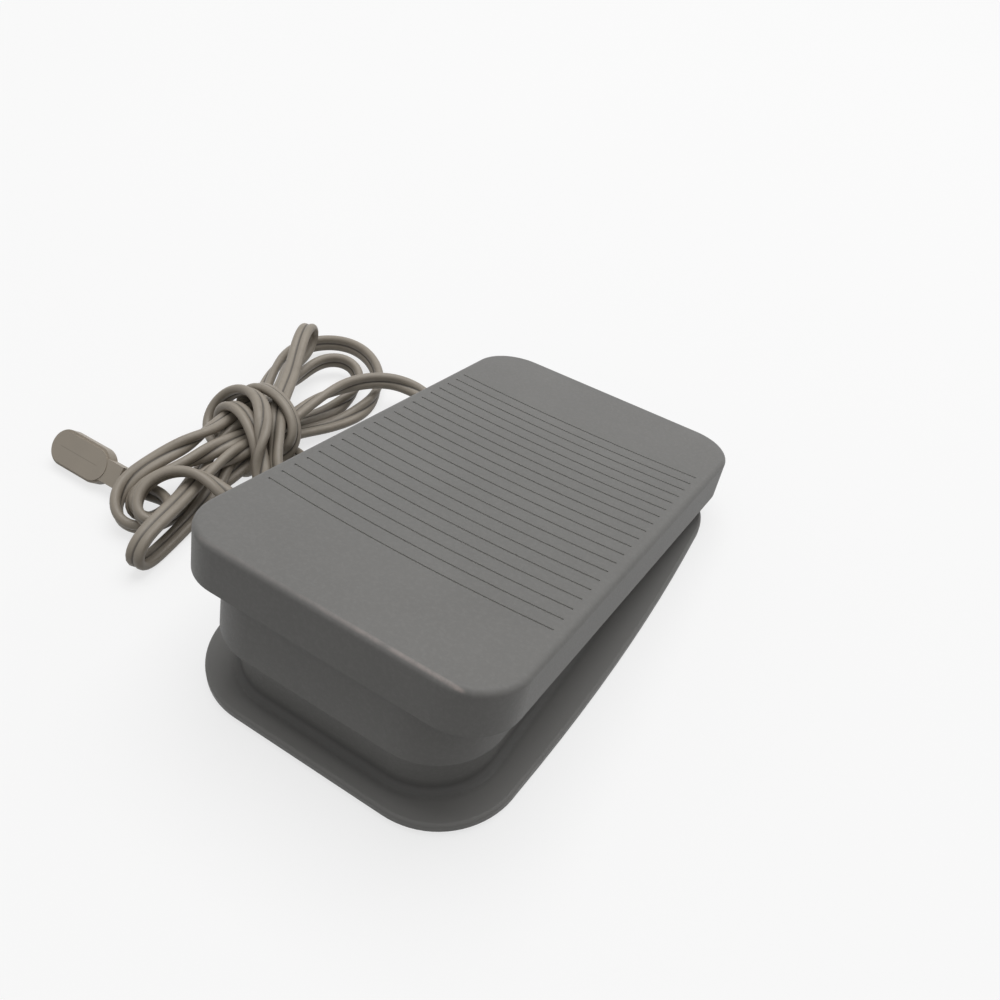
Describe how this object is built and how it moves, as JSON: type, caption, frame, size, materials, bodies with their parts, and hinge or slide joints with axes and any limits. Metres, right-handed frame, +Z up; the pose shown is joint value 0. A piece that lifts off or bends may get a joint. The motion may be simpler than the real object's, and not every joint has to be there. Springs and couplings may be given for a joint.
{
  "type": "sewing machine foot pedal",
  "caption": "Foot pedal with a sloping grooved tread hinged at its low end over a flanged tray, speed control inside, and a tied flat cord ending in an oval plug.",
  "frame": {"origin": "middle of the pedal's footprint on the table, cord left out", "axes": "+X across the width, +Y towards the hinge end, +Z up from the table"},
  "size_m": [0.1818, 0.1545, 0.0497],
  "materials": {
    "shell": "fine-grained satin grey",
    "rubber": "matte",
    "steel": "plain",
    "brass": "plain",
    "aluminium": "extruded",
    "white_plastic": "moulded",
    "black_plastic": "moulded",
    "green_plastic": "moulded",
    "board": "laminate",
    "red_lead": "insulated",
    "yellow_film": "dipped",
    "ferrite": "sintered",
    "enamelled_wire": "enamelled copper",
    "ceramic_body": "lacquered",
    "blue_body": "glazed",
    "glass": "clear",
    "cord_plastic": "satin taupe"
  },
  "bodies": {
    "base": {"base_tray": "shell", "rubber_feet": "rubber", "hinge_pin": "steel", "hinge_clips": "steel", "return_springs": "steel", "stop_pads": "rubber", "plunger_spring": "steel", "track_card": "board", "track_leads": "red_lead", "circuit_board": "board", "board_screws": "steel", "triac": "black_plastic", "heat_sink": "aluminium", "heat_sink_screw": "steel", "film_capacitor": "yellow_film", "choke_core": "ferrite", "choke_winding": "enamelled_wire", "resistors": "ceramic_body", "diac": "blue_body", "fuse": "glass", "fuse_clips": "brass", "terminal_block": "green_plastic", "lead_wires": "black_plastic", "strain_relief": "cord_plastic", "cord_lead": "cord_plastic", "cord_hank": "cord_plastic", "plug_housing": "cord_plastic", "plug_contacts": "brass"},
    "pedal": {"tread_cap": "shell", "pedal_frame": "shell", "cap_screws": "steel"},
    "plunger": {"plunger": "white_plastic", "wiper": "brass"}
  },
  "joints": [
    {"name": "pedal_hinge", "type": "hinge", "parent": "base", "child": "pedal", "pos_m": [0, 0.0606, 0.011], "axis": [1, 0, 0], "range_deg": [0, 5], "stiffness_Nm_per_rad": 12, "springref_deg": -6.88, "deforming": ["return_springs"]},
    {"name": "plunger_slide", "type": "slide", "parent": "base", "child": "plunger", "axis": [0, 0, -1], "range_m": [0, 0.0088], "deforming": ["plunger_spring"]}
  ],
  "couplings": [
    {"joint": "plunger_slide", "follows": "pedal_hinge", "m_per_rad": 0.0995}
  ]
}
